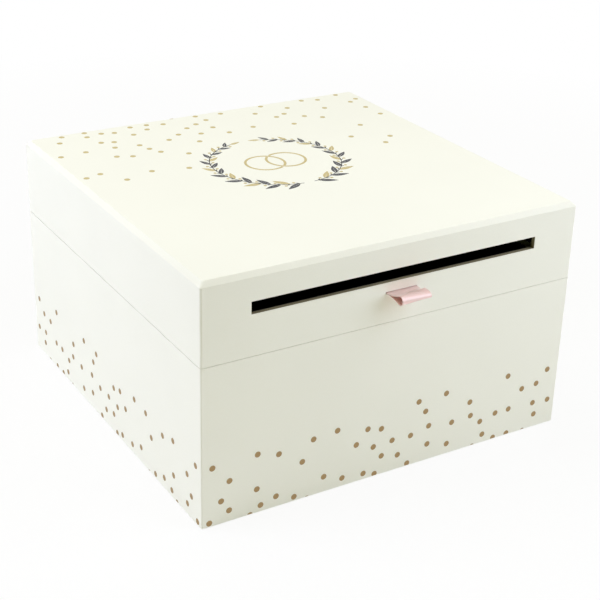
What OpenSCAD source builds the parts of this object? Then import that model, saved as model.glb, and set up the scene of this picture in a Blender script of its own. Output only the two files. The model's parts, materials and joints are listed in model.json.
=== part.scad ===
// Paper-wrapped card box with a flush hinged lid, a card slot in the lid's front wall and a ribbon pull.
// Millimetres. The origin is the middle of the underside, the front wall faces -Y and +Z is up.

/* [Box] */
// Outside width of the box
box_w = 300; // [240:1:400]
// Outside depth of the box
box_d = 300; // [240:1:400]
// Outside height of the closed box
box_h = 180; // [150:1:260]
// Height of the lid, from the seam to the top
lid_h = 59; // [50:1:90]
// Gap that stays open at the seam
seam_gap = 0.6; // [0.4:0.1:1]
// Radius of the upright outside corners
corner_r = 1.5; // [0.8:0.1:3]
// Leg of the bevel along the lid's top edges
top_bevel = 3.2; // [1.5:0.1:3.6]

/* [Board and paper] */
// Thickness of the greyboard of the base and of the lid's top
base_board = 3.4; // [2.6:0.1:5]
// Play between the lid's walls and the neck inside it
neck_play = 0.5; // [0.4:0.1:1]
// Thickness of the printed wrapping paper
paper_t = 0.3; // [0.2:0.05:0.5]
// Thickness of the lining paper
lining_t = 0.3; // [0.2:0.05:0.5]
// Room between board and wrap for the corner tape and the glue
tape_room = 0.2; // [0.15:0.05:0.4]
// Glue film on each face of a corner tape
glue_film = 0.02; // [0.01:0.01:0.05]
// Width of wrapping paper that is turned in over a rim or under the bottom
turn_in = 12; // [8:1:20]

/* [Corner tapes] */
// Width of one leg of a corner tape
tape_leg = 20; // [12:1:30]
// Distance of a corner tape's ends from the board's ends
tape_end = 3; // [1:0.5:8]

/* [Card slot] */
// Width of the card slot
slot_w = 228; // [150:1:230]
// Height of the card slot
slot_h = 9; // [5:0.5:12]
// Height of the slot's lower edge above the seam
slot_rise = 30; // [26:0.5:32]

/* [Ribbon pull] */
// Width of the pull ribbon
pull_w = 25; // [15:1:40]
// Thickness of the ribbons
ribbon_t = 0.5; // [0.3:0.1:0.8]
// Distance of the pull's middle from the box's middle, along X
pull_x = 1; // [-20:0.5:20]
// Height of the pull's slit above the seam
pull_rise = 22.3; // [20:0.1:23]
// How far the loop of the pull stands out of the wall
pull_reach = 18.4; // [12:0.2:30]
// Outside radius of the loop's nose
nose_r = 3.1; // [2:0.1:4]
// Height of the nose's middle above the slit
nose_lift = 0.8; // [0:0.1:2]
// Play of the ribbon in its slit, on each side
slit_play = 0.3; // [0.2:0.1:0.6]
// Length of the ribbon's tail glued inside the lid
pull_tail = 9; // [6:0.5:10]
// Overlap of the paper patch round the tail
patch_lap = 3; // [2:0.5:4]

/* [Neck] */
// Thickness of the neck boards
neck_t = 1.5; // [1:0.1:2.5]
// Height of the neck above the seam
neck_rise = 8; // [4:0.5:10]
// Length of the neck's side boards from the front
neck_length = 180; // [100:1:190]

/* [Hinge and stays] */
// Height of the paper hinge strip on the back
hinge_strip_h = 24; // [16:1:40]
// Distance of the strip's ends from the upright corners
hinge_end = 1; // [0.5:0.1:4]
// Gap between the strip and the lid's wrapping paper
hinge_gap = 0.3; // [0.2:0.1:0.6]
// Opening angle at which the stay ribbons pull straight
lid_open = 105; // [95:1:115]
// Width of a stay ribbon
stay_w = 12; // [8:1:16]
// Distance of a stay's base end from the hinge, towards the front
stay_base_reach = 80; // [60:1:90]
// Depth of a stay's base end below the hinge
stay_base_drop = 36; // [25:1:50]
// Distance of a stay's lid end from the hinge, towards the front
stay_lid_reach = 90; // [70:1:100]
// Height of a stay's lid end above the hinge
stay_lid_rise = 34; // [28:1:36]
// Angle at the hinge where a stay's first fold lies, from the back
stay_fold = 120; // [110:1:128]
// Play between a stay ribbon and the linings
stay_play = 0.3; // [0.2:0.05:0.4]

/* [Underside] */
// Thickness of the sheet glued under the bottom
sheet_t = 0.3; // [0.2:0.05:1]
// Distance of the underside sheet from the box's edges
sheet_margin = 4; // [2:0.5:8]

/* [Hidden] */
$fn = 48;

// Overshoot of a cut past the face that it opens
over = 1;
// Height of the seam between base and lid above the table
seam_h = box_h - lid_h;
// Distance of the board's outside from the box's outside
board_in = paper_t + tape_room;
// The lid's walls are thinner than the base's, so that the neck has its play
lid_board = base_board - neck_play;
base_wall = board_in + base_board + lining_t;
lid_wall = board_in + lid_board + lining_t;
// Rims of the base and of the lid
base_rim = seam_h - seam_gap / 2;
lid_rim = seam_h + seam_gap / 2;
// Levels of the bottom, from the table up
bottom_z = sheet_t + paper_t;
floor_z = bottom_z + base_board;
// Levels of the lid, from the top down
lid_board_top = box_h - board_in;
lid_ceiling = lid_board_top - base_board;
slot_z = seam_h + slot_rise;
pull_z = seam_h + pull_rise;
tail_t = 2 * ribbon_t;
slit_w = pull_w + 2 * slit_play;
slit_h = tail_t + 2 * slit_play;
// How far a face moves along a bevel's leg for each unit that the faces move in
bevel_share = 2 - sqrt(2);

cream = "ivory";
grey_board = "darkgray";
charcoal = "dimgray";
kraft = "burlywood";
pink = "mistyrose";

// Signs of the side and of the front or back for the four corners
FRONT = -1;
BACK = 1;
LEFT = -1;
RIGHT = 1;

// Outline of the box seen from above, moved in by the given distance, with round corners
module plan(inset) {
    w = box_w - 2 * inset;
    d = box_d - 2 * inset;
    r = corner_r - inset;
    square([w - 2 * r, d], center = true);
    square([w, d - 2 * r], center = true);
    for (sx = [LEFT, RIGHT], sy = [FRONT, BACK])
        translate([sx * (w / 2 - r), sy * (d / 2 - r)]) circle(r);
}

// Square-cornered outline seen from above, moved in by the given distance
module inner_plan(inset) {
    square([box_w - 2 * inset, box_d - 2 * inset], center = true);
}

// Upright prism on a child outline, between two heights
module upright(z0, z1) {
    translate([0, 0, z0]) linear_extrude(z1 - z0) children();
}

// Profile of the lid seen along one wall, moved in by the given distance, with bevelled top corners
module lid_profile(span, inset, z0) {
    half = span / 2 - inset;
    top = box_h - inset;
    leg = top_bevel - bevel_share * inset;
    polygon([
        [-half, z0], [half, z0], [half, top - leg],
        [half - leg, top], [leg - half, top], [-half, top - leg]
    ]);
}

// The lid as one solid block, moved in by the given distance and standing on the given height
module lid_block(inset, z0) {
    intersection() {
        upright(z0, box_h) plan(inset);
        rotate([90, 0, 0])
            linear_extrude(box_d, center = true) lid_profile(box_w, inset, z0);
        rotate([90, 0, 90])
            linear_extrude(box_w, center = true) lid_profile(box_d, inset, z0);
    }
}

// Cut through the lid's front wall for the cards
module slot_cut() {
    translate([-slot_w / 2, -box_d / 2 - over, slot_z]) cube([slot_w, lid_wall + 2 * over, slot_h]);
}

// Cut through the lid's front wall for the pull ribbon
module slit_cut() {
    translate([pull_x - slit_w / 2, -box_d / 2 - over, pull_z - slit_h / 2])
        cube([slit_w, lid_wall + 2 * over, slit_h]);
}

// Room of the hinge strip in the wrapping paper, between two heights
module hinge_strip_block(z0, z1) {
    strip_w = box_w - 2 * (corner_r + hinge_end);
    translate([-strip_w / 2, box_d / 2 - paper_t, z0]) cube([strip_w, paper_t, z1 - z0]);
}

// Region of one wall: 0 = front, 1 = back, 2 = left, 3 = right, seen from above
module wall_region(side, board) {
    long_x = box_w;
    short_y = box_d - 2 * (board_in + board);
    if (side < 2) {
        sy = side == 0 ? FRONT : BACK;
        translate([0, sy * (box_d / 2 - (board_in + board) / 2)])
            square([long_x, board_in + board], center = true);
    } else {
        sx = side == 2 ? LEFT : RIGHT;
        translate([sx * (box_w / 2 - (board_in + board) / 2), 0])
            square([board_in + board, short_y], center = true);
    }
}

module base_bottom_board() {
    color(grey_board) upright(bottom_z, floor_z) plan(board_in);
}

module base_wall_board(side) {
    color(grey_board)
        upright(floor_z, base_rim - paper_t)
            intersection() {
                plan(board_in);
                wall_region(side, base_board);
            }
}

module lid_wall_board(side) {
    color(grey_board)
        intersection() {
            lid_block(board_in, lid_rim + paper_t);
            upright(lid_rim + paper_t, lid_ceiling) wall_region(side, lid_board);
        }
}

module lid_front_board() {
    difference() {
        lid_wall_board(0);
        slot_cut();
        slit_cut();
    }
}

module lid_top_board() {
    color(grey_board) lid_block(board_in, lid_ceiling);
}

// Gummed tape folded round one upright corner of the boards, under the wrap
module corner_tape(sx, sy, z0, z1) {
    color(kraft)
        upright(z0, z1)
            intersection() {
                difference() {
                    plan(paper_t + glue_film);
                    plan(board_in - glue_film);
                }
                translate([sx * (box_w - tape_leg) / 2, sy * (box_d - tape_leg) / 2])
                    square(tape_leg, center = true);
            }
}

module base_tape(sx, sy) {
    corner_tape(sx, sy, bottom_z + tape_end, base_rim - paper_t - tape_end);
}

module lid_tape(sx, sy) {
    corner_tape(sx, sy, lid_rim + paper_t + tape_end, lid_ceiling - tape_end);
}

// Printed paper on the base's outside, turned in under the bottom and over the rim
module base_wrap() {
    color(cream)
        difference() {
            union() {
                difference() {
                    upright(sheet_t, base_rim) plan(0);
                    upright(bottom_z, base_rim - paper_t) plan(paper_t);
                    upright(sheet_t - over, bottom_z + over) inner_plan(turn_in);
                    upright(base_rim - paper_t - over, base_rim + over) inner_plan(base_wall);
                }
                upright(base_rim - turn_in, base_rim - paper_t)
                    difference() {
                        inner_plan(base_wall - lining_t);
                        inner_plan(base_wall);
                    }
            }
            hinge_strip_block(seam_h - hinge_strip_h / 2, seam_h);
        }
}

// Printed paper on the lid's outside, turned in over the rim
module lid_wrap() {
    color(cream)
        difference() {
            union() {
                difference() {
                    lid_block(0, lid_rim);
                    lid_block(paper_t, lid_rim + paper_t);
                    upright(lid_rim - over, lid_rim + paper_t + over) inner_plan(lid_wall);
                }
                upright(lid_rim + paper_t, lid_rim + turn_in)
                    difference() {
                        inner_plan(lid_wall - lining_t);
                        inner_plan(lid_wall);
                    }
            }
            hinge_strip_block(seam_h, seam_h + hinge_strip_h / 2 + hinge_gap);
            slot_cut();
            slit_cut();
        }
}

module base_wall_lining() {
    color(charcoal)
        upright(floor_z, base_rim - turn_in)
            difference() {
                inner_plan(base_wall - lining_t);
                inner_plan(base_wall);
            }
}

module base_floor_lining() {
    color(charcoal) upright(floor_z, floor_z + lining_t) inner_plan(base_wall);
}

module base_underside_sheet() {
    color(cream) upright(0, sheet_t) inner_plan(sheet_margin);
}

module lid_wall_lining() {
    color(charcoal)
        difference() {
            upright(lid_rim + turn_in, lid_ceiling)
                difference() {
                    inner_plan(lid_wall - lining_t);
                    inner_plan(lid_wall);
                }
            slot_cut();
            slit_cut();
        }
}

module lid_top_lining() {
    color(charcoal) upright(lid_ceiling - lining_t, lid_ceiling) inner_plan(lid_wall);
}

module neck_front() {
    span = box_w - 2 * base_wall;
    color(charcoal)
        translate([-span / 2, base_wall - box_d / 2, floor_z + lining_t])
            cube([span, neck_t, seam_h + neck_rise - floor_z - lining_t]);
}

module neck_side_board(sx) {
    span = neck_length - base_wall - neck_t;
    color(charcoal)
        translate([
            sx * (box_w / 2 - base_wall - neck_t / 2) - neck_t / 2,
            base_wall + neck_t - box_d / 2,
            floor_z + lining_t
        ])
            cube([neck_t, span, seam_h + neck_rise - floor_z - lining_t]);
}

module hinge_strip() {
    color(cream) hinge_strip_block(seam_h - hinge_strip_h / 2, seam_h + hinge_strip_h / 2);
}

// Teardrop of the pull's loop seen from the side: out of the wall along +X, up along +Y
module loop_outline(radius, root) {
    nose_x = pull_reach - nose_r;
    translate([nose_x, nose_lift]) circle(radius);
    polygon([[0, root], [0, -root], [nose_x, nose_lift - radius], [nose_x, nose_lift + radius]]);
}

// Ribbon folded into a loop, with both ends led through the slit and turned down inside
module pull_ribbon() {
    color(pink)
        translate([pull_x - pull_w / 2, -box_d / 2, pull_z])
            rotate([90, 0, 90])
                mirror([1, 0, 0])
                    linear_extrude(pull_w) {
                        difference() {
                            loop_outline(nose_r, ribbon_t);
                            intersection() {
                                loop_outline(nose_r - ribbon_t, 0);
                                translate([pull_reach / 4, -nose_r]) square([pull_reach, 3 * nose_r]);
                            }
                        }
                        translate([-lid_wall - tail_t, -ribbon_t]) square([lid_wall + tail_t, tail_t]);
                        translate([-lid_wall - tail_t, -pull_tail]) square([tail_t, pull_tail + ribbon_t]);
                    }
}

// Paper patch glued over the ribbon's tail inside the lid
module pull_patch() {
    color(charcoal)
        translate([
            pull_x - pull_w / 2 - patch_lap,
            lid_wall + tail_t - box_d / 2,
            pull_z - pull_tail - patch_lap / 2
        ])
            cube([pull_w + 2 * patch_lap, lining_t, pull_tail + ribbon_t + patch_lap]);
}

// Points at the hinge are given by a radius and an angle, counted from the back over the top to the front
function at_hinge(radius, angle) = [radius * cos(angle), radius * sin(angle)];
stay_base = [-stay_base_reach, -stay_base_drop];
stay_lid = [-stay_lid_reach, stay_lid_rise];
stay_lid_angle = atan2(stay_lid[1], stay_lid[0]);
stay_lid_opened = at_hinge(norm(stay_lid), stay_lid_angle - lid_open);
// The straight line of the ribbon at the full opening: its heading and its nearest distance from the hinge
stay_run = stay_lid_opened - stay_base;
stay_heading = atan2(stay_run[1], stay_run[0]);
stay_offset = abs(cross(stay_base, stay_run)) / norm(stay_run);
function stay_radius(angle) = stay_offset / cos(angle - stay_heading - 90);
// When the lid is closed the ribbon lies in a Z: it turns back at the first fold and forward again at the second
stay_fold_1 = at_hinge(stay_radius(stay_fold), stay_fold);
stay_fold_2 = at_hinge(stay_radius(stay_fold - lid_open / 2), stay_fold + lid_open / 2);

// One straight run of a folded stay ribbon, from x0 and place p0 at the hinge to x1 and place p1
module stay_run_solid(x0, p0, x1, p1) {
    hull() {
        for (e = [[x0, p0], [x1, p1]])
            translate([e[0], box_d / 2 + e[1][0], seam_h + e[1][1]])
                rotate([0, 90, 0]) cylinder(h = ribbon_t, d = stay_w, center = true, $fn = 24);
    }
}

module stay_ribbon(sx) {
    near = box_w / 2 - base_wall - stay_play - ribbon_t / 2;
    in_lid = box_w / 2 - lid_wall - stay_play - ribbon_t / 2;
    deep = near - 2 * ribbon_t;
    color(pink) {
        stay_run_solid(sx * near, stay_base, sx * deep, stay_fold_1);
        stay_run_solid(sx * deep, stay_fold_1, sx * near, stay_fold_2);
        stay_run_solid(sx * near, stay_fold_2, sx * in_lid, stay_lid);
    }
}

base_bottom_board();
base_wall_board(0);  // base_front_board
base_wall_board(1);  // base_back_board
base_wall_board(2);  // base_left_board
base_wall_board(3);  // base_right_board
base_tape(LEFT, FRONT);  // base_tape_front_left
base_tape(RIGHT, FRONT);  // base_tape_front_right
base_tape(LEFT, BACK);  // base_tape_back_left
base_tape(RIGHT, BACK);  // base_tape_back_right
base_wrap();
base_wall_lining();
base_floor_lining();
base_underside_sheet();
neck_front();
neck_side_board(LEFT);  // neck_left
neck_side_board(RIGHT);  // neck_right
hinge_strip();
lid_top_board();
lid_front_board();
lid_wall_board(1);  // lid_back_board
lid_wall_board(2);  // lid_left_board
lid_wall_board(3);  // lid_right_board
lid_tape(LEFT, FRONT);  // lid_tape_front_left
lid_tape(RIGHT, FRONT);  // lid_tape_front_right
lid_tape(LEFT, BACK);  // lid_tape_back_left
lid_tape(RIGHT, BACK);  // lid_tape_back_right
lid_wrap();
lid_wall_lining();
lid_top_lining();
pull_ribbon();
pull_patch();
stay_ribbon(LEFT);  // stay_ribbon_left
stay_ribbon(RIGHT);  // stay_ribbon_right
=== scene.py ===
import json
import math
import random

import bmesh
import bpy
from bmesh.types import BMEdge, BMVert
from bpy.props import FloatProperty, FloatVectorProperty, IntProperty, PointerProperty
from mathutils import Matrix, Vector


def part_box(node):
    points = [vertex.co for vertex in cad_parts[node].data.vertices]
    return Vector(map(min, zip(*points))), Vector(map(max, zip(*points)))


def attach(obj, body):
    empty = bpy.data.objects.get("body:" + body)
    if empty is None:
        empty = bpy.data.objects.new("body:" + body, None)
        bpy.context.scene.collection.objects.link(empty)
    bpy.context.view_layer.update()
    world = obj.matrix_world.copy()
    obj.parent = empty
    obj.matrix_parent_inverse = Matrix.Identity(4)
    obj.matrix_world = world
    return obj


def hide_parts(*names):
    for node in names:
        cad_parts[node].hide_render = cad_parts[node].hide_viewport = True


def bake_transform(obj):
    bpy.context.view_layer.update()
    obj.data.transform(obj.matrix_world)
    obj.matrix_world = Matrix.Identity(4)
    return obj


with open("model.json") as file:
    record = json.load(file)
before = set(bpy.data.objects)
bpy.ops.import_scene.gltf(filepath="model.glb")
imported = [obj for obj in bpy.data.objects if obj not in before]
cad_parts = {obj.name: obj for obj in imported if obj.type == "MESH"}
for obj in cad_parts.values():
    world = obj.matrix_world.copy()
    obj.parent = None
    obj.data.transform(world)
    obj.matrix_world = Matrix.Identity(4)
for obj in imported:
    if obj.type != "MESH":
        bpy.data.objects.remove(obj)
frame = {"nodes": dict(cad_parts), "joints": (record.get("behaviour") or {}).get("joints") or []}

bl_info = {
    "name": "Wedding Card Box",
    "version": (1, 0, 0),
    "blender": (4, 5, 0),
    "location": "View3D > Sidebar > Card Box",
    "description": "Paper-wrapped card box with a hinged lid, a card slot and a ribbon pull",
    "category": "Object",
}

MM = 0.001
TINY = 1e-6
WHITE = (1.0, 1.0, 1.0)
RIGHT, BACK, UP = Vector((1, 0, 0)), Vector((0, 1, 0)), Vector((0, 0, 1))
LEFT, FRONT, DOWN = -RIGHT, -BACK, -UP

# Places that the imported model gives
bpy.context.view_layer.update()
JOINTS = {joint["name"]: joint for joint in frame["joints"]}
HINGE = Vector(JOINTS["lid_hinge"]["pos_m"])
LID_OPENING = math.radians(JOINTS["lid_hinge"]["range_deg"][1])
PULL_ROOT = Vector(JOINTS["pull_bend"]["pos_m"])
BASE_LOW, BASE_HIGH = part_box("base_wrap")
LID_LOW, LID_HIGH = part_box("lid_wrap")
BASE_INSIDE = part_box("base_floor_lining")[1].x
LID_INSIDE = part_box("lid_top_lining")[1].x
HALF_WIDTH, HALF_DEPTH = LID_HIGH.x, LID_HIGH.y
HINGE_LOW, HINGE_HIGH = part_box("hinge_strip")

# Shared by several pieces and finishes
FACING = 0.99  # cosine above which a face counts as looking along a direction
SMOOTH = 180  # sharp angle, in degrees, of a piece that is smooth all over
WAVE_BANDS = 20 / math.tau  # bands to the unit that the wave texture draws at a scale of 1
TONES_START, TONES_END = 0.3, 0.7  # part of a value's range over which the tones change

# Pull ribbon, with angles in degrees
NOSE_TOP, NOSE_BOTTOM = 105, -100  # where the round nose starts and ends
NOSE_STEPS, RUN_STEPS, TAIL_STEPS, SLIT_STEPS = 24, 14, 6, 5
TAIL_BEND = 1.2 * MM  # radius of the outer layer where it turns down inside the lid
LAYER_ROOM = 0.6  # half the distance between the two layers in the slit, in ribbon thicknesses

# Stay ribbons and hinge strip
STAY_ROOM = 0.75  # half the distance between a stay's two planes, in ribbon thicknesses
STAY_PLAY = 0.1 * MM  # how far both planes are moved in from the base's lining

# Scatter of the dots
THINNING = 0.7  # power by which the dots thin out towards the far side
LOOSENING = 0.35  # how much wider they stand at the far side, as a share of their gap
EASING = 0.9995  # share of the gap that stays after a place that doesn't fit

# Wreath, with angles in degrees
BRANCH_START, BRANCH_SWEEP = 5, 160
LEAF_LEAN, BERRY_LEAN = 36, 72
LEAF_TAPER = 0.35  # share of its size that a branch's end leaf has lost
LEAF_SHAPE = 0.8  # power below 1 that makes a leaf widest before its middle
GOLD_EVERY = 3  # one leaf of so many is gold
STALK_WIDTH = 1.5  # width of a berry's stalk, in widths of the stem
RING_SPACING = 0.6  # half the distance between the rings' middles, as a share of their radius
ARC_STEP = 5  # turn between two points of a stem or a ring


def linear(red, green, blue):
    """Linear colour of screen values from 0 to 255."""
    shares = (value / 255 for value in (red, green, blue))
    return tuple(s / 12.92 if s <= 0.04045 else ((s + 0.055) / 1.055) ** 2.4 for s in shares)


def size(name, description, millimetres):
    """A length whose default is given in millimetres."""
    return FloatProperty(
        name=name,
        description=description,
        default=millimetres * MM,
        precision=5,
        subtype="DISTANCE",
        unit="LENGTH",
    )


def tint(name, description, red, green, blue):
    """A colour whose default is given in screen values."""
    return FloatVectorProperty(
        name=name,
        description=description,
        default=linear(red, green, blue),
        min=0.0,
        max=1.0,
        subtype="COLOR",
    )


def turn(name, description, degrees):
    """An angle whose default is given in degrees."""
    return FloatProperty(
        name=name,
        description=description,
        default=math.radians(degrees),
        subtype="ANGLE",
        unit="ROTATION",
    )


def watts(name, description, power):
    """The power of a lamp."""
    return FloatProperty(name=name, description=description, default=power, subtype="POWER")


def count(name, description, number):
    """A whole number of like things, or a seed."""
    return IntProperty(name=name, description=description, default=number, min=1)


class WrapSettings(bpy.types.PropertyGroup):
    """Wrapping paper of the base and of the lid"""

    paper: size("Paper", "Thickness of the wrapping paper", 0.3)
    top_bevel: size("Top bevel", "Leg of the bevel along the lid's top edges", 3.2)
    lid_corner: size("Lid corner", "Radius of the lid's upright corners", 1.5)
    base_corner: size("Base corner", "Radius of the base's upright corners", 1.0)
    bottom_edge: size("Bottom edge", "Radius of the base's bottom edges", 0.5)
    crease: size("Crease", "Radius of the paper at the lid's creases", 0.3)
    turn_in: size("Turn-in", "Width of paper turned in over a rim or under the bottom", 12)
    slot_width: size("Slot width", "Width of the card slot", 228)
    slot_height: size("Slot height", "Height of the card slot", 9)
    slot_rise: size("Slot rise", "Height of the slot's lower edge above the seam", 30)
    slit_width: size("Slit width", "Width of the slit for the pull ribbon", 25.6)
    slit_height: size("Slit height", "Height of the slit for the pull ribbon", 1.6)
    seam: size("Seam", "Gap that stays open between the papers of the base and the lid in front", 0.3)
    side_drop: size("Side drop", "How much lower the base's rim is along its sides and back", 0.28)
    side_start: size("Side start", "Distance behind the front wall at which the rim is down", 4)
    neck_edge: size("Neck edge", "Radius of the neck boards' edges", 0.5)
    strip: size("Hinge strip", "Thickness of the paper strip over the back seam", 0.15)
    strip_bed: size("Strip bed", "Depth of the wrap's recess under the hinge strip", 0.17)
    step: size("Step", "Width of the slope at the recess's edges", 0.1)
    hinge_score: size("Hinge score", "Depth of the line along which the hinge strip bends", 0.22)


class RibbonSettings(bpy.types.PropertyGroup):
    """Satin ribbons of the pull and of the lid stays"""

    pull_width: size("Pull width", "Width of the pull ribbon", 25)
    reach_left: size("Reach left", "How far the pull's loop stands out at its left edge", 19.2)
    reach_right: size("Reach right", "How far the pull's loop stands out at its right edge", 17.2)
    nose_depth_left: size("Nose depth left", "Length of the loop's round nose at its left edge", 3.2)
    nose_depth_right: size("Nose depth right", "Length of the loop's round nose at its right edge", 6.6)
    nose_height_left: size("Nose height left", "Half the height of the nose at its left edge", 3.1)
    nose_height_right: size("Nose height right", "Half the height of the nose at its right edge", 2.6)
    nose_lift_left: size("Nose lift left", "Height of the nose above the slit at its left edge", 1.1)
    nose_lift_right: size("Nose lift right", "Height of the nose above the slit at its right edge", -0.1)
    sag: size("Sag", "How far the loop's upper run sags between the slit and the nose", 1.0)
    bow: size("Bow", "How far the loop's lower run bows up between the nose and the slit", 0.9)
    tail: size("Tail", "Length of the ribbon's ends glued inside the lid", 8.5)
    pull_thickness: size("Pull thickness", "Thickness of the pull ribbon", 0.35)
    stay_width: size("Stay width", "Width of a stay ribbon", 12)
    stay_thickness: size("Stay thickness", "Thickness of a stay ribbon", 0.2)
    stay_base_reach: size("Stay base reach", "Distance of a stay's base end from the hinge", 80)
    stay_base_drop: size("Stay base drop", "Depth of a stay's base end below the hinge", 36)
    stay_lid_reach: size("Stay lid reach", "Distance of a stay's lid end from the hinge", 90)
    stay_lid_rise: size("Stay lid rise", "Height of a stay's lid end above the hinge", 34)
    stay_end: size("Stay end", "Length of ribbon past each end's glued middle", 7)
    stay_fold: turn("Stay fold", "Angle at the hinge of a stay's first fold", 120)
    patch_margin: size("Patch margin", "How far a paper patch reaches past the stay's end that it holds", 4)
    patch_paper: size("Patch paper", "Thickness of the patches over the stays' ends", 0.2)
    patch_slope: size("Patch slope", "Width of the slope where a patch climbs onto the ribbon", 1.2)
    patch_gap: size("Patch gap", "Room between a patch and the ribbon under it", 0.02)


class PrintSettings(bpy.types.PropertyGroup):
    """Foil dots and the wreath printed on the paper"""

    dot: size("Dot", "Diameter of a foil dot", 4.5)
    foil: size("Foil", "How far the foil and the ink stand above the paper", 0.04)
    dot_gap: size("Dot gap", "Least distance between the middles of two dots", 9.5)
    wall_dots: count("Wall dots", "Number of dots on each wall", 53)
    wall_low: size("Wall start", "Height of the lowest middles, where dots are cut by the edge", -1.5)
    wall_reach: size("Wall reach", "How high the dots reach on a wall", 63)
    wall_margin: size("Wall margin", "Distance of a dot's middle from a wall's upright edges", 4)
    wall_seed: count("Wall seed", "Seed of the places on the walls", 203775)
    top_dots: count("Top dots", "Number of dots on the lid's top", 60)
    top_low: size("Top start", "Distance of the first middles from the back edge of the top", 2)
    top_reach: size("Top reach", "How far the dots reach from the back edge of the top", 152)
    top_margin: size("Top margin", "Distance of a dot's middle from the top's side edges", 5.5)
    top_seed: count("Top seed", "Seed of the places on the top", 50116)
    wreath_clear: size("Wreath clearing", "Radius round the wreath's middle that stays free of dots", 64)
    wreath_y: size("Wreath place", "Distance of the wreath's middle behind the box's middle", 20)
    wreath_radius: size("Wreath radius", "Radius of the wreath's stems", 50)
    leaves: count("Leaves", "Number of leaves along a branch, before its end leaf", 19)
    leaf_length: size("Leaf length", "Length of a branch's first leaf", 15)
    leaf_width: size("Leaf width", "Width of a branch's first leaf", 4.6)
    vein: size("Vein", "Width of the bare line between a leaf's halves", 0.35)
    stem: size("Stem", "Width of a branch's stem", 0.7)
    stalk: size("Stalk", "Length of a berry's stalk", 3.5)
    berry: size("Berry", "Diameter of a berry", 2.4)
    ring_radius: size("Ring radius", "Middle radius of the two linked rings", 15)
    ring_band: size("Ring band", "Width of the rings' bands", 2.0)
    ring_gap: size("Ring gap", "Bare paper beside a ring that passes over", 0.6)


class ColourSettings(bpy.types.PropertyGroup):
    """Colours of the papers, boards, ribbon and print"""

    cream: tint("Cream", "Wrapping paper", 249, 248, 239)
    gold: tint("Gold", "Foil of the walls' dots", 166, 136, 88)
    # Paler copy of the walls' gold for the lid's top: painted sheen, because the top catches more light
    # than the walls
    pale_gold: tint("Pale gold", "Foil of the dots and the wreath on the lid's top", 200, 183, 127)
    ink: tint("Ink", "Dark ink of the wreath", 62, 62, 66)
    charcoal: tint("Charcoal", "Lining paper and neck", 40, 40, 42)
    greyboard: tint("Greyboard", "Bare board at the cut edges", 172, 162, 133)
    kraft: tint("Kraft", "Gummed tape at the boards' corners", 186, 148, 104)
    pink: tint("Pink", "Satin ribbon", 255, 212, 209)
    floor: tint("Floor", "Studio floor", 245, 245, 243)


class StageSettings(bpy.types.PropertyGroup):
    """Camera and studio light"""

    lens: FloatProperty(
        name="Lens",
        description="Focal length of the camera",
        default=81.65,
        subtype="DISTANCE_CAMERA",
    )
    lift: FloatProperty(name="Shift", description="Upright shift of the picture", default=-0.025)
    azimuth: turn("Azimuth", "Heading of the view, from the front towards the left", 31.34)
    elevation: turn("Elevation", "Height of the view above the horizon", 24.97)
    roll: turn("Roll", "Tilt of the camera about its own axis", 1.6)
    place: FloatVectorProperty(
        name="Place",
        description="Where the camera stands",
        default=(-0.48730, -0.82064, 0.52968),
        subtype="TRANSLATION",
        unit="LENGTH",
    )
    sky: FloatProperty(name="Sky", description="Strength of the light from all round", default=0.22)
    above: watts("Above", "Power of the soft light above", 12.4)
    left: watts("Left", "Power of the soft light on the left", 12.8)
    right: watts("Right", "Power of the soft light in front on the right", 9.2)
    warm: tint("Warm", "Colour of the light from all round", 255, 246, 110)
    cool: tint("Cool", "Colour of the soft light on the left", 220, 226, 255)
    mild: tint("Mild", "Colour of the soft light in front on the right", 220, 226, 248)


class CardBoxSettings(bpy.types.PropertyGroup):
    """All settings of the card box"""

    wrap: PointerProperty(type=WrapSettings, name="Wrap", description="Wrapping paper")
    ribbon: PointerProperty(type=RibbonSettings, name="Ribbon", description="Satin ribbons")
    printing: PointerProperty(type=PrintSettings, name="Print", description="Foil and ink")
    colour: PointerProperty(type=ColourSettings, name="Colour", description="Colours")
    stage: PointerProperty(type=StageSettings, name="Stage", description="Camera and light")


class Nodes:
    """A node tree, with one way to add nodes to it."""

    def __init__(self, tree):
        self.nodes, self.links = tree.nodes, tree.links

    def feed(self, node, inputs):
        """Give a node's inputs values, or link them to the sockets that feed them."""
        for name, value in inputs.items():
            if isinstance(value, bpy.types.NodeSocket):
                self.links.new(value, node.inputs[name])
            else:
                node.inputs[name].default_value = value

    def add(self, kind, inputs, **options):
        """Add a node with its options, and feed its inputs."""
        node = self.nodes.new(f"ShaderNode{kind}")
        for name, option in options.items():
            setattr(node, name, option)
        self.feed(node, inputs)
        return node

    def show_mix(self, share, first, second, output):
        """Lead a mix of two shaders to the output node."""
        mix = self.add("MixShader", {"Fac": share, 1: first, 2: second})
        self.feed(self.nodes[output], {"Surface": mix.outputs["Shader"]})


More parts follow.
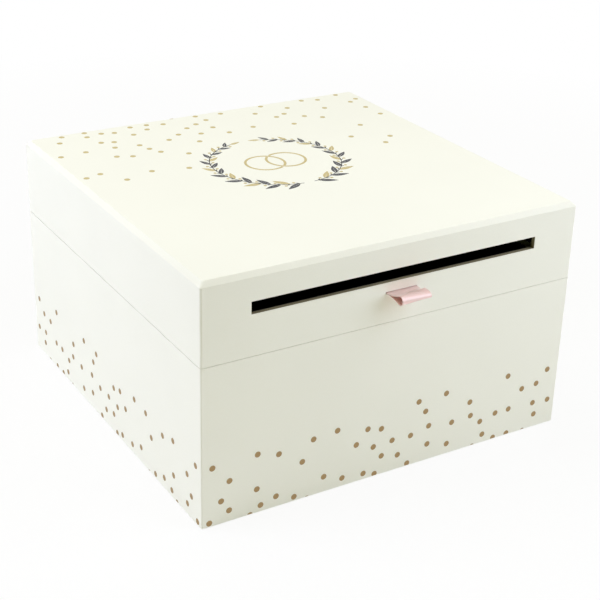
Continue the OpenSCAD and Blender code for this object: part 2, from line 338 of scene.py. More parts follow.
class Finish(Nodes):
    """Node tree of one material, with the steps that the finishes share."""

    def __init__(self, name):
        self.material = bpy.data.materials.new(name)
        self.material.use_nodes = True
        super().__init__(self.material.node_tree)
        self.shader = self.nodes["Principled BSDF"]

    def dress(self, sockets):
        """Feed the shader's sockets and return the material."""
        self.feed(self.shader, sockets)
        return self.material

    def coordinates(self, source, stretch=(1.0, 1.0, 1.0)):
        """Coordinates of the piece, stretched along its axes."""
        place = self.add("TexCoord", {})
        mapping = self.add("Mapping", {"Vector": place.outputs[source], "Scale": stretch})
        return mapping.outputs["Vector"]

    def grain(self, scale, detail=2.0, stretch=(1.0, 1.0, 1.0)):
        """Noise through the piece, with a number of spots to the metre."""
        where = self.coordinates("Object", stretch)
        noise = self.add("TexNoise", {"Vector": where, "Scale": scale, "Detail": detail})
        return noise.outputs["Fac"]

    def threads(self, number, direction):
        """Even threads along the piece's map, counted from edge to edge."""
        inputs = {"Vector": self.coordinates("UV"), "Scale": number / WAVE_BANDS}
        inputs.update({"Distortion": 0.4, "Detail": 1.0})
        return self.add("TexWave", inputs, bands_direction=direction).outputs["Fac"]

    def distance(self):
        """Distance from the piece's middle."""
        place = self.coordinates("Object")
        return self.add("VectorMath", {0: place}, operation="LENGTH").outputs["Value"]

    def spread(self, value, low, high, start=0.0, end=1.0):
        """A value that goes from low to high while another goes from start to end."""
        inputs = {"Value": value, "From Min": start, "From Max": end, "To Min": low, "To Max": high}
        return self.add("MapRange", inputs).outputs["Result"]

    def tones(self, value, low, high):
        """Colours from a low shade to a high one, over the middle of the value's range."""
        ramp = self.add("ValToRGB", {"Fac": value})
        first, last = ramp.color_ramp.elements
        first.position, last.position = TONES_START, TONES_END
        first.color, last.color = (*low, 1.0), (*high, 1.0)
        return ramp.outputs["Color"]

    def multiply(self, first, second):
        """Product of two colours."""
        inputs = {"Factor": 1.0, "A": first, "B": second}
        return self.add("Mix", inputs, data_type="RGBA", blend_type="MULTIPLY").outputs["Result"]

    def relief(self, height, depth):
        """Normal of a surface raised by a height from 0 to 1, times a depth in metres."""
        return self.add("Bump", {"Height": height, "Distance": depth}).outputs["Normal"]

    def follow(self, grain, colour, shades, roughness, depth):
        """Let the colour, the roughness and the relief follow one grain."""
        low, high = (shade(colour, share) for share in shades)
        sockets = {
            "Base Color": self.tones(grain, low, high),
            "Roughness": self.spread(grain, *roughness),
            "Normal": self.relief(grain, depth),
        }
        return self.dress(sockets)


def shade(colour, share):
    """A colour made darker to a share of its light."""
    return tuple(value * share for value in colour)


def printed_paper(colours):
    """Printed art paper: cream, nearly even, with a fine tooth."""
    finish = Finish("printed_paper")
    clouds = finish.tones(finish.grain(scale=14), shade(colours.cream, 0.985), colours.cream)
    fibres = finish.grain(scale=1500, detail=4, stretch=(1.0, 1.0, 0.5))
    tooth = finish.tones(fibres, shade(WHITE, 0.975), WHITE)
    sockets = {
        "Base Color": finish.multiply(clouds, tooth),
        "Roughness": finish.spread(fibres, 0.5, 0.66),
        "Normal": finish.relief(fibres, 0.03 * MM),
        "Specular IOR Level": 0.35,
    }
    return finish.dress(sockets)


def charcoal_paper(colours):
    """Uncoated dark lining paper with pale fibres."""
    finish = Finish("charcoal_paper")
    fibres = finish.grain(scale=900, detail=5, stretch=(1.0, 0.3, 1.0))
    finish.follow(fibres, colours.charcoal, shades=(0.7, 1.35), roughness=(0.72, 0.9), depth=0.05 * MM)
    return finish.dress({"Specular IOR Level": 0.2})


def pressed_board(colours):
    """Pressed board of recycled fibre, layered and flecked."""
    finish = Finish("pressed_board")
    lines = finish.grain(scale=500, detail=3, stretch=(0.15, 1.0, 1.0))
    layers = finish.tones(lines, shade(colours.greyboard, 0.72), colours.greyboard)
    flecks = finish.tones(finish.grain(scale=1800), shade(WHITE, 0.6), WHITE)
    sockets = {
        "Base Color": finish.multiply(layers, flecks),
        "Roughness": 0.9,
        "Normal": finish.relief(finish.grain(scale=1200, detail=4), 0.12 * MM),
        "Specular IOR Level": 0.15,
    }
    return finish.dress(sockets)


def gummed_tape(colours):
    """Brown gummed paper with a run of the fibres along the tape."""
    finish = Finish("gummed_tape")
    run = finish.grain(scale=800, detail=4, stretch=(1.0, 1.0, 0.1))
    return finish.follow(run, colours.kraft, shades=(0.75, 1.0), roughness=(0.6, 0.8), depth=0.04 * MM)


def stamped_foil(name, colour):
    """Hot-stamped foil, softly brushed by the paper's tooth."""
    finish = Finish(name)
    tooth = finish.grain(scale=1700, detail=3)
    finish.follow(tooth, colour, shades=(0.86, 1.0), roughness=(0.42, 0.6), depth=0.02 * MM)
    return finish.dress({"Metallic": 0.5, "Specular IOR Level": 1.0})


def wall_foil(colours):
    """Gold foil of the walls' dots."""
    return stamped_foil("wall_foil", colours.gold)


def top_foil(colours):
    """Gold foil of the print on the lid's top: a paler copy of the walls' gold, with painted sheen where
    the top catches more light.
    """
    return stamped_foil("top_foil", colours.pale_gold)


def dark_ink(colours):
    """Matt printing ink that lets the paper's tooth through."""
    finish = Finish("dark_ink")
    tooth = finish.grain(scale=1600, detail=4)
    return finish.follow(tooth, colours.ink, shades=(0.8, 1.2), roughness=(0.5, 0.7), depth=0.02 * MM)


def pink_satin(colours, name, warp, weft, depth, shine):
    """Satin ribbon: fine warp threads along it over a hidden weft."""
    finish = Finish(name)
    along = finish.threads(warp, "X")
    warp_tone = finish.tones(along, shade(colours.pink, 0.95), colours.pink)
    weft_tone = finish.tones(finish.threads(weft, "Y"), shade(WHITE, 0.97), WHITE)
    sockets = {
        "Base Color": finish.multiply(warp_tone, weft_tone),
        "Roughness": finish.spread(along, 0.28, 0.4),
        "Normal": finish.relief(along, 0.04 * MM),
        "Specular IOR Level": shine,
        "Coat Weight": shine,
        "Coat Roughness": 0.3,
        "Subsurface Weight": 0.45,
        "Subsurface Radius": (1.0, 0.8, 0.75),
        "Subsurface Scale": depth,
    }
    return finish.dress(sockets)


def settings():
    """The card box's settings of the open scene."""
    return bpy.context.scene.card_box


def finish_of(make, **details):
    """The material that a function makes, made once."""
    found = bpy.data.materials.get(details.get("name", make.__name__))
    return found or make(settings().colour, **details)


def block(bm, low, high):
    """Add a box between two corners and return its faces."""
    made = bmesh.ops.create_cube(bm, size=1.0)
    bmesh.ops.scale(bm, vec=high - low, verts=made["verts"])
    bmesh.ops.translate(bm, vec=(low + high) / 2, verts=made["verts"])
    bm.normal_update()
    return list({face for vert in made["verts"] for face in vert.link_faces})


def clamp(value, low=0.0, high=1.0):
    """A value held between two limits."""
    return max(low, min(high, value))


def parts_of(made, kind):
    """The vertices or the edges among what an operator made."""
    return [part for part in made["geom"] if isinstance(part, kind)]


def towards(faces, direction):
    """The faces that look along a direction."""
    return [face for face in faces if face.normal.dot(direction) > FACING]


def edges_at(bm, height):
    """The edges that lie level at a height."""
    return [e for e in bm.edges if all(abs(v.co.z - height) < TINY for v in e.verts)]


def leaning_edges(bm):
    """The edges that stand upright or lean."""
    return [e for e in bm.edges if abs(e.verts[0].co.z - e.verts[1].co.z) > TINY]


def folded_edges(bm):
    """The edges where two faces meet at an angle."""
    least = math.radians(30)
    return [e for e in bm.edges if e.is_manifold and e.calc_face_angle() > least]


def bevel(bm, edges, width, segments):
    """Bevel edges, flat with one segment and round with more."""
    bmesh.ops.bevel(
        bm,
        geom=edges,
        offset=width,
        offset_type="OFFSET",
        affect="EDGES",
        segments=segments,
        profile=0.5,
        material=-1,
    )
    bm.normal_update()


def score(bm, direction, point, across):
    """Cut a straight line over the faces that look along a direction."""
    faces = towards(bm.faces, direction)
    parts = {part for face in faces for part in (face, *face.edges, *face.verts)}
    bmesh.ops.bisect_plane(bm, geom=list(parts), dist=TINY, plane_co=point, plane_no=across)
    bm.normal_update()


def between(point, low, high):
    """True where a point lies between two corners seen from the front."""
    return low.x < point.x < high.x and low.z < point.z < high.z


def cut_window(bm, low, high):
    """Cut an opening in the front wall, between two corners."""
    for corner in (low, high):
        score(bm, FRONT, corner, RIGHT)
        score(bm, FRONT, corner, UP)
    window = [f for f in towards(bm.faces, FRONT) if between(f.calc_center_median(), low, high)]
    bmesh.ops.delete(bm, geom=window, context="FACES")


def press_strip_bed(bm, wrap):
    """Press the bed of the hinge strip into the back wall."""
    step = Vector((wrap.step, 0, wrap.step))
    low, high = HINGE_LOW - step, HINGE_HIGH + step
    for corner in (low, low + step, high - step, high):
        score(bm, BACK, corner, RIGHT)
        score(bm, BACK, corner, UP)
    bed = [
        v
        for v in bm.verts
        if abs(v.co.y - HALF_DEPTH) < TINY and between(v.co, low + step / 2, high - step / 2)
    ]
    bmesh.ops.translate(bm, vec=FRONT * wrap.strip_bed, verts=bed)


def draw_out_rim(bm, rim):
    """Extrude the open edges at a height and return the new vertices."""
    edges = [e for e in edges_at(bm, rim) if e.is_boundary]
    return parts_of(bmesh.ops.extrude_edge_only(bm, edges=edges), BMVert)


def turn_in_rim(bm, rim, half_inside, height):
    """Lead the paper over an open rim and a little way along the wall's inside."""
    inner = draw_out_rim(bm, rim)
    for vert in inner:
        vert.co.x = clamp(vert.co.x, -half_inside, half_inside)
        vert.co.y = clamp(vert.co.y, -half_inside, half_inside)
    bmesh.ops.remove_doubles(bm, verts=inner, dist=TINY)
    bmesh.ops.translate(bm, vec=UP * height, verts=draw_out_rim(bm, rim))


def thicken(bm, thickness):
    """Turn the sheet into paper of a thickness, laid on inside the sheet."""
    bmesh.ops.recalc_face_normals(bm, faces=bm.faces)
    bmesh.ops.solidify(bm, geom=bm.faces[:], thickness=thickness)
    bm.normal_update()


def new_piece(name, bm, material, sharp_angle=40):
    """A mesh object of the scene, smooth except at sharp folds."""
    mesh = bpy.data.meshes.new(name)
    bm.to_mesh(mesh)
    bm.free()
    mesh.materials.append(material)
    mesh.shade_smooth()
    mesh.set_sharp_from_angle(angle=math.radians(sharp_angle))
    piece = bpy.data.objects.new(name, mesh)
    bpy.context.scene.collection.objects.link(piece)
    return piece


def even_shading(piece):
    """Let the large flat faces set the shading at their round edges."""
    modifier = piece.modifiers.new("Even shading", "WEIGHTED_NORMAL")
    modifier.keep_sharp = True


def lid_wrap_mesh(wrap):
    """The lid's paper: bevelled edges, slot and slit, and the rim turned in."""
    bm = bmesh.new()
    low = Vector((LID_LOW.x, LID_LOW.y, HINGE.z + wrap.seam / 2))
    walls = block(bm, low, LID_HIGH)
    bmesh.ops.delete(bm, geom=towards(walls, DOWN), context="FACES_ONLY")
    bevel(bm, edges_at(bm, LID_HIGH.z), wrap.top_bevel, segments=1)
    bevel(bm, leaning_edges(bm), wrap.lid_corner, segments=4)
    bevel(bm, folded_edges(bm), wrap.crease, segments=2)
    slot_low = Vector((-wrap.slot_width / 2, -HALF_DEPTH, HINGE.z + wrap.slot_rise))
    cut_window(bm, slot_low, slot_low + Vector((wrap.slot_width, 0, wrap.slot_height)))
    half_slit = Vector((wrap.slit_width / 2, 0, wrap.slit_height / 2))
    cut_window(bm, PULL_ROOT - half_slit, PULL_ROOT + half_slit)
    press_strip_bed(bm, wrap)
    turn_in_rim(bm, low.z, LID_INSIDE, wrap.turn_in)
    thicken(bm, wrap.paper)
    return bm


def base_wrap_mesh(wrap):
    """The base's paper, turned in under the bottom and over the rim."""
    bm = bmesh.new()
    high = Vector((BASE_HIGH.x, BASE_HIGH.y, HINGE.z - wrap.seam / 2))
    walls = block(bm, BASE_LOW, high)
    bmesh.ops.delete(bm, geom=towards(walls, UP), context="FACES_ONLY")
    bevel(bm, leaning_edges(bm), wrap.base_corner, segments=3)
    bevel(bm, [e for e in folded_edges(bm) if e in edges_at(bm, BASE_LOW.z)], wrap.bottom_edge, segments=3)
    bottom = towards(bm.faces, DOWN)
    bmesh.ops.inset_region(bm, faces=bottom, thickness=wrap.turn_in)
    bmesh.ops.delete(bm, geom=bottom, context="FACES")
    press_strip_bed(bm, wrap)
    start = FRONT * (HALF_DEPTH - wrap.side_start)
    for side in (LEFT, RIGHT):
        score(bm, side, start, BACK)
    turn_in_rim(bm, high.z, BASE_INSIDE, -wrap.turn_in)
    sides = [v for v in bm.verts if abs(v.co.z - high.z) < TINY and v.co.y > start.y - TINY]
    bmesh.ops.translate(bm, vec=DOWN * wrap.side_drop, verts=sides)
    thicken(bm, wrap.paper)
    return bm


def hinge_strip_mesh(wrap):
    """The strip over the back seam, scored along the hinge and in rows close enough to bend."""
    bm = bmesh.new()
    turned = Matrix.Rotation(math.radians(-90), 4, "X")
    made = bmesh.ops.create_grid(bm, x_segments=24, y_segments=80, size=0.5, matrix=turned)
    span = HINGE_HIGH - HINGE_LOW
    bmesh.ops.scale(bm, vec=(span.x, 1.0, span.z), verts=made["verts"])
    middle = (HINGE_LOW + HINGE_HIGH) / 2
    bmesh.ops.translate(bm, vec=(middle.x, HINGE_HIGH.y, middle.z), verts=made["verts"])
    score_line = [v for v in bm.verts if abs(v.co.z - HINGE.z) < TINY]
    bmesh.ops.translate(bm, vec=FRONT * wrap.hinge_score, verts=score_line)
    raise_print(bm, bm.faces[:], FRONT * wrap.strip)
    return bm


def smooth_weight(value):
    """Share of the way at which a smooth step reaches a value from 0 to 1."""
    return 0.5 - math.sin(math.asin(1 - 2 * value) / 3)


def ribbon_mesh(rows):
    """A ribbon through rows of points, mapped from edge to edge and from end to end."""
    bm = bmesh.new()
    line = [bm.verts.new(point) for point in rows[0]]
    edges = [bm.edges.new(pair) for pair in zip(line, line[1:])]
    place = {vert: (column, 0) for column, vert in enumerate(line)}
    for number, row in enumerate(rows[1:], 1):
        made = bmesh.ops.extrude_edge_only(bm, edges=edges)
        edges = parts_of(made, BMEdge)
        line = sorted(parts_of(made, BMVert), key=lambda vert: nearest_column(vert, line))
        for column, vert in enumerate(line):
            vert.co = row[column]
            place[vert] = (column, number)
    layer = bm.loops.layers.uv.new("ribbon")
    columns, length = len(rows[0]) - 1, len(rows) - 1
    for face in bm.faces:
        for loop in face.loops:
            column, number = place[loop.vert]
            loop[layer].uv = (column / columns, number / length)
    return bm


def nearest_column(vert, line):
    """The column of the row that a new vertex was pulled from."""
    return min(range(len(line)), key=lambda column: (vert.co - line[column].co).length_squared)


def arc(centre, radii, start, end, steps):
    """Points of an arc seen from the side, from one angle in degrees to another."""
    turns = [math.radians(start + (end - start) * step / steps) for step in range(steps + 1)]
    return [centre + Vector((radii[0] * math.cos(a), radii[1] * math.sin(a))) for a in turns]


def straight(start, end, steps):
    """Points of a straight run, without its ends."""
    return [start.lerp(end, step / steps) for step in range(1, steps)]


def sagging(start, end, steps, sag):
    """Points of a run that hangs a little between its ends, without its ends."""
    shares = [step / steps for step in range(1, steps)]
    return [start.lerp(end, share) - Vector((0, 4 * sag * share * (1 - share))) for share in shares]


def loop_size(ribbon, name, share):
    """A size of the pull's loop at a share of the ribbon's width."""
    left, right = getattr(ribbon, f"{name}_left"), getattr(ribbon, f"{name}_right")
    return left + (right - left) * share


def pull_route(ribbon, share):
    """Side view of the pull's route at a share of its width: up inside, out, round the nose and back."""
    reach = loop_size(ribbon, "reach", share)
    depth = loop_size(ribbon, "nose_depth", share)
    height = loop_size(ribbon, "nose_height", share)
    lift = loop_size(ribbon, "nose_lift", share)
    nose = arc(Vector((reach - depth, lift)), (depth, height), NOSE_TOP, NOSE_BOTTOM, NOSE_STEPS)
    half = ribbon.pull_thickness * LAYER_ROOM
    inside = LID_INSIDE - HALF_DEPTH
    outer, inner = TAIL_BEND, TAIL_BEND / 2
    upper_bend = arc(Vector((inside, half - outer)), (outer, outer), 180, 90, TAIL_STEPS)
    upper_tail = upper_bend[0] + Vector((0, outer - half - ribbon.tail))
    lower_bend = arc(Vector((inside, -half - inner)), (inner, inner), 90, 180, SLIT_STEPS)
    lower_tail = Vector((lower_bend[-1].x, -ribbon.tail))
    root = Vector((0, half))
    return [
        upper_tail,
        *straight(upper_tail, upper_bend[0], TAIL_STEPS),
        *upper_bend,
        *straight(upper_bend[-1], root, SLIT_STEPS),
        root,
        *sagging(root, nose[0], RUN_STEPS, ribbon.sag),
        *nose,
        *sagging(nose[-1], -root, RUN_STEPS, -ribbon.bow),
        -root,
        *straight(-root, lower_bend[0], SLIT_STEPS),
        *lower_bend,
        *straight(lower_bend[-1], lower_tail, TAIL_STEPS),
        lower_tail,
    ]


def pull_rows(ribbon):
    """Rows of points across the pull ribbon, whose loop is rounder on its left."""
    columns = 16
    lines = []
    for column in range(columns + 1):
        share = column / columns
        edge = PULL_ROOT + RIGHT * ribbon.pull_width * (share - 0.5)
        lines.append([edge + FRONT * out + UP * rise for out, rise in pull_route(ribbon, share)])
    return list(zip(*lines))


def stay_ends(ribbon):
    """Side view of a stay's glued middles on the base and on the closed lid, from the hinge."""
    base_end = Vector((-ribbon.stay_base_reach, -ribbon.stay_base_drop))
    lid_end = Vector((-ribbon.stay_lid_reach, ribbon.stay_lid_rise))
    return base_end, lid_end


def stay_rows(ribbon, sign):
    """Rows of points across a stay ribbon, folded in a Z as it lies under the closed lid."""
    base_end, lid_end = stay_ends(ribbon)
    opened = Matrix.Rotation(-LID_OPENING, 2) @ lid_end
    heading = (opened - base_end).normalized()
    width = Vector((-heading.y, heading.x)) * ribbon.stay_width
    start = base_end - heading * ribbon.stay_end
    end = opened + heading * ribbon.stay_end
    steps, columns = 130, 6
    near, far = stay_planes(ribbon)
    rows = []
    for step in range(steps + 1):
        middle = start.lerp(end, step / steps)
        row = []
        for column in range(columns + 1):
            point = middle + width * (column / columns - 0.5)
            angle = math.atan2(point.y, point.x)
            angle += math.tau if angle < 0 and point.x < 0 else 0.0
            weight = clamp(2 * (ribbon.stay_fold - angle) / LID_OPENING)
            closed = Matrix.Rotation(weight * LID_OPENING, 2) @ point
            side = near + (far - near) * smooth_weight(weight)
            row.append(Vector((sign * side, HINGE.y + closed.x, HINGE.z + closed.y)))
        rows.append(row)
    return rows


def stay_planes(ribbon):
    """Distances from the middle at which a stay lies on the base's side and on the lid's side."""
    gap = ribbon.stay_thickness * STAY_ROOM
    return BASE_INSIDE - gap - STAY_PLAY, BASE_INSIDE + gap - STAY_PLAY


def stay_patch_mesh(ribbon, sign, body):
    """Paper patch over a stay's glued end: flat on the lining, and pressed over the ribbon."""
    base_end, lid_end = stay_ends(ribbon)
    near, far = stay_planes(ribbon)
    heading = (Matrix.Rotation(-LID_OPENING, 2) @ lid_end - base_end).normalized()
    if body == "base":
        end, inward = base_end, heading
        lining, plane = BASE_INSIDE, near
    else:
        end, inward = lid_end, Matrix.Rotation(LID_OPENING, 2) @ -heading
        lining, plane = LID_INSIDE, far
    across = Vector((-inward.y, inward.x))
    climb = lining - plane + ribbon.stay_thickness / 2 + ribbon.patch_gap
    length = ribbon.stay_end + 2 * ribbon.patch_margin
    width = ribbon.stay_width + 2 * ribbon.patch_margin
    bm = bmesh.new()
    bmesh.ops.create_grid(bm, x_segments=20, y_segments=26, size=0.5)
    bmesh.ops.scale(bm, vec=(length, width, 1.0), verts=bm.verts)
    for vert in bm.verts:
        past_end = vert.co.x + length / 2 - ribbon.patch_margin
        inside_edge = ribbon.stay_width / 2 - abs(vert.co.y)
        covered = clamp(1 + min(past_end, inside_edge) / ribbon.patch_slope)
        spot = end + inward * (vert.co.x - ribbon.stay_end / 2) + across * vert.co.y
        height = ribbon.patch_gap + covered * (climb - ribbon.patch_gap)
        vert.co = Vector((sign * (lining - height), HINGE.y + spot.x, HINGE.z + spot.y))
    raise_print(bm, bm.faces[:], LEFT * sign * ribbon.patch_paper)
    return bm


def laid_thickness(piece, thickness):
    """Give a ribbon its thickness, half to each side."""
    modifier = piece.modifiers.new("Thickness", "SOLIDIFY")
    modifier.thickness = thickness
    modifier.offset = 0.0
    even_shading(piece)


def scatter(printing, where, is_free=lambda spot: True):
    """Places of dots on a wall or on the top, close along one edge and thinning out away from it."""
    names = ("seed", "dots", "low", "reach", "margin")
    seed, number, low, high, margin = (getattr(printing, f"{where}_{name}") for name in names)
    source = random.Random(seed)
    width, gap = 2 * HALF_WIDTH, printing.dot_gap
    spots = []
    while len(spots) < number:
        spot = Vector((source.uniform(0, width), source.uniform(low, high)))
        depth = max(0.0, spot.y / high)
        if source.random() > (1 - depth) ** THINNING:
            continue
        clear = gap * (1 + LOOSENING * depth)
        allowed = margin < spot.x < width - margin and is_free(spot)
        if allowed and all((spot - other).length > clear for other in spots):
            spots.append(spot)
        else:
            gap *= EASING
    return spots


def raise_print(bm, faces, lift):
    """Give flat shapes a thickness, with walls round them."""
    raised = parts_of(bmesh.ops.extrude_face_region(bm, geom=faces), BMVert)
    bmesh.ops.translate(bm, vec=lift, verts=raised)
    bmesh.ops.recalc_face_normals(bm, faces=bm.faces)


def add_dot(bm, place, radius):
    """Add one round dot on a plane."""
    bmesh.ops.create_circle(bm, cap_ends=True, segments=20, radius=radius, matrix=place)


def trim(bm, point, beyond):
    """Cut away what lies beyond a plane."""
    parts = bm.verts[:] + bm.edges[:] + bm.faces[:]
    bmesh.ops.bisect_plane(bm, geom=parts, plane_co=point, plane_no=beyond, clear_outer=True)
    bm.normal_update()


def wall_dots_mesh(printing):
    """The same scatter of dots on each of the four walls, mirrored at the corners."""
    spots = scatter(printing, "wall")
    bm = bmesh.new()
    walls = {FRONT.freeze(): False, LEFT.freeze(): True, RIGHT.freeze(): True, BACK.freeze(): False}
    for look, mirrored in walls.items():
        right = UP.cross(look)
        turned = Matrix((right, UP, look)).transposed().to_4x4()
        for spot in spots:
            along = 2 * HALF_WIDTH - spot.x if mirrored else spot.x
            place = right * (along - HALF_WIDTH) + UP * (BASE_LOW.z + spot.y) + look * HALF_DEPTH
            add_dot(bm, Matrix.Translation(place) @ turned, printing.dot / 2)
    trim(bm, UP * (BASE_LOW.z + settings().wrap.bottom_edge), DOWN)
    printed = {look: towards(bm.faces, look) for look in walls}
    for look, faces in printed.items():
        raise_print(bm, faces, look * printing.foil)
    return bm


def top_dots_mesh(printing):
    """Dots along the back of the lid's top, round the wreath."""
    middle = Vector((HALF_WIDTH, HALF_DEPTH - printing.wreath_y))
    spots = scatter(printing, "top", lambda spot: (spot - middle).length > printing.wreath_clear)
    bm = bmesh.new()
    for spot in spots:
        place = Vector((spot.x - HALF_WIDTH, HALF_DEPTH - spot.y, LID_HIGH.z))
        add_dot(bm, Matrix.Translation(place), printing.dot / 2)
    trim(bm, BACK * (HALF_DEPTH - settings().wrap.top_bevel), BACK)
    raise_print(bm, bm.faces[:], UP * printing.foil)
    return bm


def polar(angle, radius):
    """Level vector of a length at an angle from the box's right."""
    return Vector((math.cos(angle), math.sin(angle), 0)) * radius


def add_leaf(bm, place, length, width, vein):
    """Add the two halves of a pointed leaf that starts at a place and points along its first axis."""
    for side in (-1, 1):
        made = bmesh.ops.create_circle(bm, cap_ends=True, segments=20, radius=0.5)
        for vert in made["verts"]:
            along = vert.co.x + 0.5
            bulge = width * math.sin(math.pi * along**LEAF_SHAPE) if vert.co.y * side > 0 else 0.0
            vert.co = (along * length, side * (bulge + vein * (1 - along)) / 2, 0)
        bmesh.ops.transform(bm, matrix=place, verts=made["verts"])


def add_arc(bm, centre, radius, band, start, end):
    """Add a flat arc of a band about an upright axis."""
    verts = [bm.verts.new(centre + polar(start, radius + side * band / 2)) for side in (-1, 1)]
    edge = bm.edges.new(verts)
    steps = math.ceil(abs(end - start) / math.radians(ARC_STEP))
    bmesh.ops.spin(
        bm, geom=[*verts, edge], cent=centre, axis=UP, angle=end - start, steps=steps, use_merge=False
    )


def add_branch(dark, gold, centre, printing, side):
    """Add one branch of the wreath, from the front round one side to the back."""
    radius, leaves = printing.wreath_radius, printing.leaves
    start = math.radians(-90 + side * BRANCH_START)
    sweep = math.radians(side * BRANCH_SWEEP)
    add_arc(dark, centre, radius, printing.stem, start, start + sweep)
    for number in range(leaves + 1):
        share = (number + 0.5) / (leaves + 0.5)
        outwards = 0 if number == leaves else (-1) ** number
        scale = 1 - LEAF_TAPER * share
        angle = start + sweep * share
        heading = angle + side * math.radians(90 - LEAF_LEAN * outwards)
        place = Matrix.Translation(centre + polar(angle, radius)) @ Matrix.Rotation(heading, 4, "Z")
        mesh = gold if number % GOLD_EVERY == 1 else dark
        add_leaf(mesh, place, printing.leaf_length * scale, printing.leaf_width * scale, printing.vein)
        if outwards:
            stalk = place @ Matrix.Rotation(side * math.radians(BERRY_LEAN * outwards), 4, "Z")
            add_leaf(dark, stalk, printing.stalk, printing.stem * STALK_WIDTH, 0.0)
            berry = stalk @ Matrix.Translation(RIGHT * (printing.stalk + printing.berry / 2))
            add_dot(gold, berry, printing.berry / 2)


def add_linked_rings(bm, centre, printing):
    """Add two rings that pass over and under each other."""
    radius, band = printing.ring_radius, printing.ring_band
    apart = radius * RING_SPACING
    crossing = math.acos(apart / radius)
    gap = (band / 2 + printing.ring_gap) / radius
    for side, under in ((-1, -crossing), (1, math.pi - crossing)):
        middle = centre + RIGHT * side * apart
        add_arc(bm, middle, radius, band, under + gap, under + math.tau - gap)


def wreath_meshes(printing):
    """A wreath of two leafy branches with gold berries, and two linked rings in its middle."""
    dark, gold = bmesh.new(), bmesh.new()
    centre = Vector((0, printing.wreath_y, LID_HIGH.z))
    for side in (-1, 1):
        add_branch(dark, gold, centre, printing, side)
    add_linked_rings(gold, centre, printing)
    for mesh in (dark, gold):
        mesh.normal_update()
        raise_print(mesh, mesh.faces[:], UP * printing.foil)
    return dark, gold


class CARDBOX_OT_boards(bpy.types.Operator):
    """Give the boards, corner tapes, linings and the underside sheet their finishes"""

    bl_idname = "cardbox.boards"
    bl_label = "Boards and linings"

    def execute(self, context):
        for name, node in frame["nodes"].items():
            if "board" in name:
                make = pressed_board
            elif "tape" in name:
                make = gummed_tape
            elif "lining" in name or "neck" in name or "patch" in name:
                make = charcoal_paper
            else:
                make = printed_paper
            node.data.materials.clear()
            node.data.materials.append(finish_of(make))
        return {"FINISHED"}


class CARDBOX_OT_wraps(bpy.types.Operator):
    """Wrap the base and the lid in cream paper"""

    bl_idname = "cardbox.wraps"
    bl_label = "Wrapping paper"

    def execute(self, context):
        wrap = settings().wrap
        for body, mesh in (("base", base_wrap_mesh(wrap)), ("lid", lid_wrap_mesh(wrap))):
            piece = new_piece(f"{body}_paper", mesh, finish_of(printed_paper))
            even_shading(piece)
            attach(piece, body)
            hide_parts(f"{body}_wrap")
        return {"FINISHED"}


class CARDBOX_OT_neck(bpy.types.Operator):
    """Wrap the three neck boards in lining paper, with soft edges"""

    bl_idname = "cardbox.neck"
    bl_label = "Neck boards"

    def execute(self, context):
        wrap = settings().wrap
        for side in ("front", "left", "right"):
            bm = bmesh.new()
            block(bm, *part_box(f"neck_{side}"))
            bevel(bm, bm.edges[:], wrap.neck_edge, segments=3)
            piece = new_piece(f"neck_paper_{side}", bm, finish_of(charcoal_paper))
            even_shading(piece)
            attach(piece, "base")
            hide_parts(f"neck_{side}")
        return {"FINISHED"}


class CARDBOX_OT_hinge(bpy.types.Operator):
    """Lay the paper hinge strip over the back seam"""

    bl_idname = "cardbox.hinge"
    bl_label = "Hinge strip"

    def execute(self, context):
        wrap = settings().wrap
        piece = new_piece("hinge_paper", hinge_strip_mesh(wrap), finish_of(printed_paper))
        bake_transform(piece)
        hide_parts("hinge_strip")
        return {"FINISHED"}


class CARDBOX_OT_pull(bpy.types.Operator):
    """Fold the pull ribbon into its loop and lead it through the slit"""

    bl_idname = "cardbox.pull"
    bl_label = "Pull ribbon"

    def execute(self, context):
        ribbon = settings().ribbon
        rows = pull_rows(ribbon)
        satin = finish_of(pink_satin, name="pull_satin", warp=70, weft=240, depth=0.9 * MM, shine=1.0)
        piece = new_piece("pull_loop", ribbon_mesh(rows), satin, SMOOTH)
        laid_thickness(piece, ribbon.pull_thickness)
        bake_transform(piece)
        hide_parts("pull_ribbon")
        return {"FINISHED"}


class CARDBOX_OT_stays(bpy.types.Operator):
    """Fold the two stay ribbons between the base and the lid, with a paper patch over each glued end"""

    bl_idname = "cardbox.stays"
    bl_label = "Stay ribbons"

    def execute(self, context):
        ribbon = settings().ribbon
        satin = finish_of(pink_satin, name="stay_satin", warp=34, weft=420, depth=0.4 * MM, shine=0.4)
        for side, sign in (("left", -1), ("right", 1)):
            rows = stay_rows(ribbon, sign)
            piece = new_piece(f"stay_satin_{side}", ribbon_mesh(rows), satin, SMOOTH)
            laid_thickness(piece, ribbon.stay_thickness)
            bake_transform(piece)
            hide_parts(f"stay_ribbon_{side}")
            for body in ("base", "lid"):
                mesh = stay_patch_mesh(ribbon, sign, body)
                patch = new_piece(f"stay_patch_{body}_{side}", mesh, finish_of(charcoal_paper))
                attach(patch, body)
        return {"FINISHED"}


class CARDBOX_OT_dots(bpy.types.Operator):
    """Stamp the gold foil dots on the walls and on the lid's top"""

    bl_idname = "cardbox.dots"
    bl_label = "Foil dots"

    def execute(self, context):
        printing = settings().printing
        prints = (("base", wall_dots_mesh, wall_foil), ("lid", top_dots_mesh, top_foil))
        for body, stamp, foil in prints:
            piece = new_piece(f"{body}_dots", stamp(printing), finish_of(foil))
            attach(piece, body)
        return {"FINISHED"}


